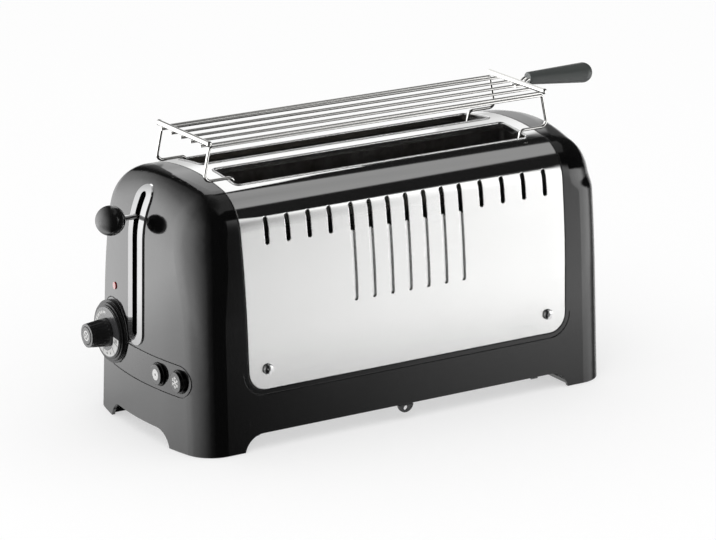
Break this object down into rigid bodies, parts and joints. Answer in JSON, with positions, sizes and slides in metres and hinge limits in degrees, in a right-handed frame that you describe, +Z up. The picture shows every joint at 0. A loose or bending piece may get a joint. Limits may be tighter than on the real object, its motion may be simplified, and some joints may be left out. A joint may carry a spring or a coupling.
{
  "type": "long slot toaster",
  "caption": "Long slot toaster with a polished steel cover, black moulded ends, side lever, browning dial, push buttons, crumb tray and a lift-off wire warming rack with a grip.",
  "frame": {"origin": "middle of the footprint, on the table", "axes": "+X along the body towards the far end and the rack's grip, -Y the front long side, +Z up; the lever and the controls are on the -X end"},
  "size_m": [0.5019, 0.1892, 0.2645],
  "materials": {
    "black_gloss": "polished injection moulding",
    "polished_steel": "polished stainless sheet",
    "chrome_plate": "bright chrome plate",
    "knob_black": "polished ball",
    "dial_black": "satin black",
    "scale_silver": "satin silver with white wedge print",
    "button_black": "satin black with a white pictogram",
    "lens_red": "clear red lens",
    "rubber_black": "moulded rubber",
    "galvanised": "galvanised sheet, as rolled",
    "bright_reflector": "bright rolled sheet",
    "mica": "mica card, matt",
    "heating_ribbon": "rolled resistance alloy",
    "guard_wire": "plated wire",
    "bearing_plastic": "natural acetal",
    "copper_coil": "enamelled copper winding",
    "brass_leaf": "rolled brass",
    "board_green": "coated circuit board",
    "dark_moulding": "heat resistant moulding",
    "rack_wire": "bright chrome plate",
    "grip_dark": "matt dark grey green moulding"
  },
  "bodies": {
    "base": {"outer_casing": "black_gloss", "rubber_feet": "rubber_black", "steel_cover": "polished_steel", "front_slot_rim": "polished_steel", "rear_slot_rim": "polished_steel", "panel_screws": "chrome_plate", "panel_brackets": "galvanised", "base_screws": "galvanised", "base_plate": "galvanised", "tray_runners": "galvanised", "control_side_plate": "galvanised", "far_side_plate": "galvanised", "top_plate": "galvanised", "reflectors": "bright_reflector", "outer_element_boards": "mica", "inner_element_boards": "mica", "element_ribbons": "heating_ribbon", "guide_rods": "chrome_plate", "rod_brackets": "galvanised", "return_spring": "galvanised", "magnet_core": "galvanised", "magnet_coil": "copper_coil", "main_switch_block": "dark_moulding", "switch_contacts": "brass_leaf", "control_board": "board_green", "board_posts": "dark_moulding", "tact_switches": "dark_moulding", "potentiometer_body": "dark_moulding", "lever_slot_bezel": "chrome_plate", "indicator_lens": "lens_red", "dial_bezel": "dial_black", "scale_ring": "scale_silver", "cord_gland": "dark_moulding", "terminal_block": "bearing_plastic"},
    "carriage": {"carriage_bracket": "galvanised", "far_slider": "galvanised", "slider_bushes": "bearing_plastic", "lever_plate": "galvanised", "lever_rod": "chrome_plate", "lever_knob": "knob_black", "armature_plate": "galvanised", "front_bread_lift": "galvanised", "rear_bread_lift": "galvanised"},
    "guard_front_inner": {"front_inner_guard": "guard_wire"},
    "guard_front_outer": {"front_outer_guard": "guard_wire"},
    "guard_rear_inner": {"rear_inner_guard": "guard_wire"},
    "guard_rear_outer": {"rear_outer_guard": "guard_wire"},
    "knob": {"browning_knob": "dial_black", "potentiometer_shaft": "bearing_plastic"},
    "cancel": {"cancel_button": "button_black"},
    "bagel": {"bagel_button": "button_black"},
    "defrost": {"defrost_button": "button_black"},
    "tray": {"crumb_tray": "galvanised", "tray_pull_tab": "dark_moulding"},
    "rack": {"rack_cross_bars": "rack_wire", "rack_end_caps": "rack_wire", "rack_wires": "rack_wire", "rack_leg_frames": "rack_wire", "rack_handle_stem": "rack_wire", "rack_handle_grip": "grip_dark"}
  },
  "joints": [
    {"name": "lever_slide", "type": "slide", "parent": "base", "child": "carriage", "axis": [0, 0, 1], "range_m": [-0.095, 0.015], "stiffness_N_per_m": 60, "springref_m": 0.0407, "deforming": ["return_spring"]},
    {"name": "guard_front_inner_slide", "type": "slide", "parent": "base", "child": "guard_front_inner", "axis": [0, -1, 0], "range_m": [-0.00142, 0.009]},
    {"name": "guard_front_outer_slide", "type": "slide", "parent": "base", "child": "guard_front_outer", "axis": [0, 1, 0], "range_m": [-0.00142, 0.009]},
    {"name": "guard_rear_inner_slide", "type": "slide", "parent": "base", "child": "guard_rear_inner", "axis": [0, 1, 0], "range_m": [-0.00142, 0.009]},
    {"name": "guard_rear_outer_slide", "type": "slide", "parent": "base", "child": "guard_rear_outer", "axis": [0, -1, 0], "range_m": [-0.00142, 0.009]},
    {"name": "browning_turn", "type": "hinge", "parent": "base", "child": "knob", "pos_m": [-0.221, 0.045, 0.078], "axis": [-1, 0, 0], "range_deg": [-135, 135]},
    {"name": "cancel_push", "type": "slide", "parent": "knob", "child": "cancel", "axis": [1, 0, 0], "range_m": [0, 0.0015], "stiffness_N_per_m": 200, "springref_m": -0.004},
    {"name": "bagel_push", "type": "slide", "parent": "base", "child": "bagel", "axis": [1, 0, 0], "range_m": [0, 0.002], "stiffness_N_per_m": 200, "springref_m": -0.004},
    {"name": "defrost_push", "type": "slide", "parent": "base", "child": "defrost", "axis": [1, 0, 0], "range_m": [0, 0.002], "stiffness_N_per_m": 200, "springref_m": -0.004},
    {"name": "tray_slide", "type": "slide", "parent": "base", "child": "tray", "axis": [0, -1, 0], "range_m": [0, 0.15]},
    {"name": "rack_lift", "type": "slide", "parent": "base", "child": "rack", "axis": [0, 0, 1], "range_m": [0, 0.12]}
  ],
  "couplings": [
    {"joint": "guard_front_inner_slide", "follows": "lever_slide", "ratio": -0.094737},
    {"joint": "guard_front_outer_slide", "follows": "lever_slide", "ratio": -0.094737},
    {"joint": "guard_rear_inner_slide", "follows": "lever_slide", "ratio": -0.094737},
    {"joint": "guard_rear_outer_slide", "follows": "lever_slide", "ratio": -0.094737}
  ]
}
